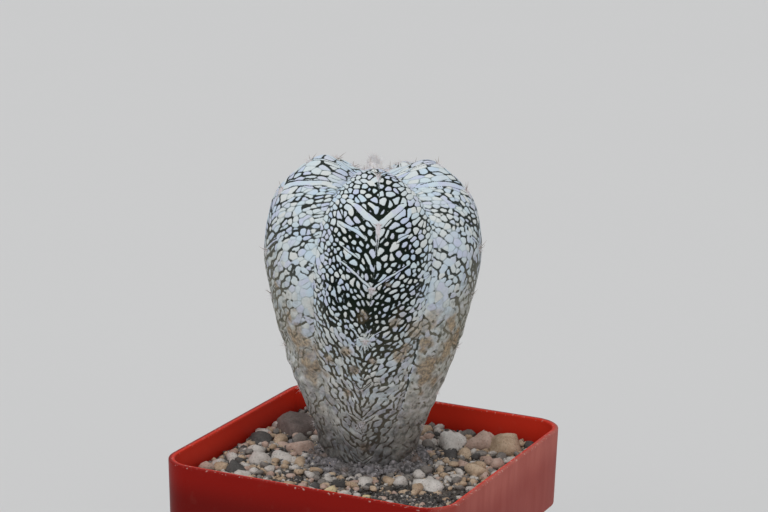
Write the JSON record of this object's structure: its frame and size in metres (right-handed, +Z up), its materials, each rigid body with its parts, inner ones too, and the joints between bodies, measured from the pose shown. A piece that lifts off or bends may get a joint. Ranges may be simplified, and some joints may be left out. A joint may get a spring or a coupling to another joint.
{
  "type": "potted star cactus",
  "caption": "Ribbed star cactus flecked with white, with a narrow foot and a wide woolly crown, in gravel in a small square tapered plastic pot.",
  "frame": {"origin": "middle of the pot's foot, on the surface it stands on", "axes": "+Z up along the plant; X and Y along the sides of the square pot"},
  "size_m": [0.06, 0.06, 0.1139],
  "materials": {
    "pot_plastic": "satin moulded terracotta-red plastic",
    "soil": "dark gritty potting mix",
    "gravel": "matt mixed gravel in cream, tan, grey and brown",
    "cactus_skin": "dark green skin under dense white felt flecks, corky and tan low down"
  },
  "bodies": {
    "root": {"pot": "pot_plastic", "soil": "soil", "gravel": "gravel", "cactus": "cactus_skin"}
  },
  "joints": []
}
